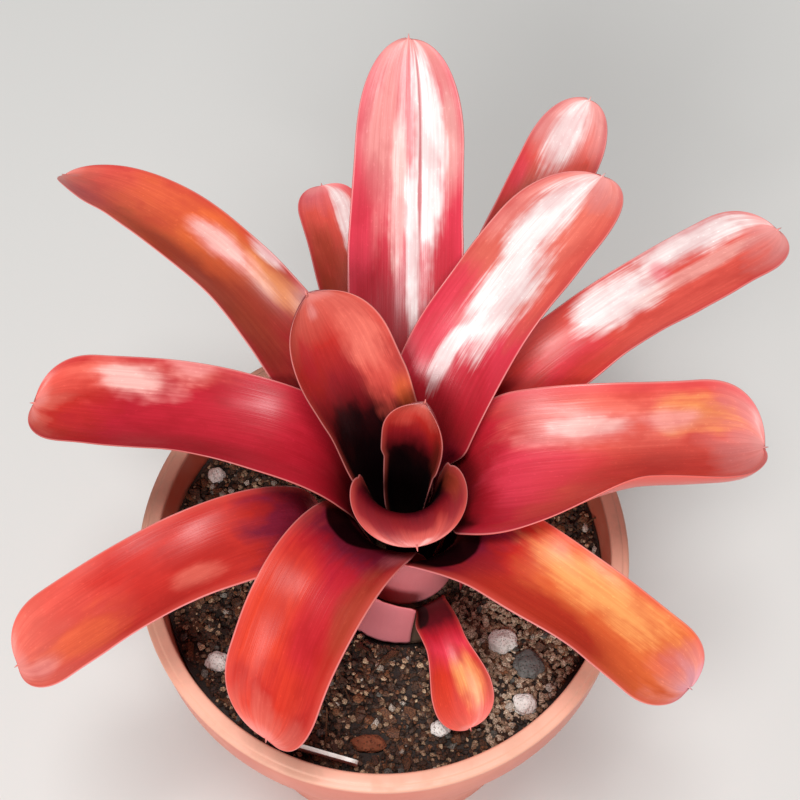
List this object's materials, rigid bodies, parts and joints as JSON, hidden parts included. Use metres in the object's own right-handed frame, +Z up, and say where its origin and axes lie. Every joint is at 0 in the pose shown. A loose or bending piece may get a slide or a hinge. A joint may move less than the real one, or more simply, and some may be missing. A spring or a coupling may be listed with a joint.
{
  "type": "potted neoregelia bromeliad",
  "caption": "Bromeliad rosette of arching strap leaves around a central cup, on a short stem in gritty mix in a round tapered plastic pot.",
  "frame": {"origin": "centre of the pot's flat base, on the surface that it stands on", "axes": "+Z up along the pot's axis, -Y towards the viewer of the picture, +X to that viewer's right"},
  "size_m": [0.1746, 0.1562, 0.1794],
  "materials": {
    "pot_plastic": "satin, terracotta-coloured",
    "potting_mix": "rough, gritty, dark brown",
    "stem_tissue": "dull, fibrous",
    "leaf_inner_young_skin": "satin leaf",
    "leaf_inner_back_skin": "glossy leaf",
    "leaf_inner_front_skin": "satin leaf",
    "leaf_back_right_skin": "glossy leaf",
    "leaf_left_skin": "glossy leaf",
    "leaf_right_skin": "glossy leaf",
    "leaf_front_left_skin": "satin leaf",
    "leaf_back_skin": "glossy leaf",
    "leaf_front_right_skin": "satin leaf",
    "leaf_back_right_lower_skin": "glossy leaf",
    "leaf_back_left_skin": "glossy leaf",
    "leaf_right_upper_skin": "glossy leaf",
    "leaf_back_small_skin": "glossy leaf",
    "leaf_left_lower_skin": "satin leaf",
    "leaf_front_small_skin": "satin leaf",
    "pumice": "rough, porous",
    "grey_stone": "rough",
    "bark": "rough",
    "label_plastic": "smooth, blank"
  },
  "bodies": {
    "root": {"pot": "pot_plastic", "soil": "potting_mix", "stem": "stem_tissue", "leaf_inner_young": "leaf_inner_young_skin", "leaf_inner_back": "leaf_inner_back_skin", "leaf_inner_front": "leaf_inner_front_skin", "leaf_back_right": "leaf_back_right_skin", "leaf_left": "leaf_left_skin", "leaf_right": "leaf_right_skin", "leaf_front_left": "leaf_front_left_skin", "leaf_back": "leaf_back_skin", "leaf_front_right": "leaf_front_right_skin", "leaf_back_right_lower": "leaf_back_right_lower_skin", "leaf_back_left": "leaf_back_left_skin", "leaf_right_upper": "leaf_right_upper_skin", "leaf_back_small": "leaf_back_small_skin", "leaf_left_lower": "leaf_left_lower_skin", "leaf_front_small": "leaf_front_small_skin", "pumice_right": "pumice", "pumice_front_right": "pumice", "pumice_front": "pumice", "pumice_left": "pumice", "pumice_back_left": "pumice", "stone_grey": "grey_stone", "bark_chip": "bark", "plant_label": "label_plastic"}
  },
  "joints": []
}
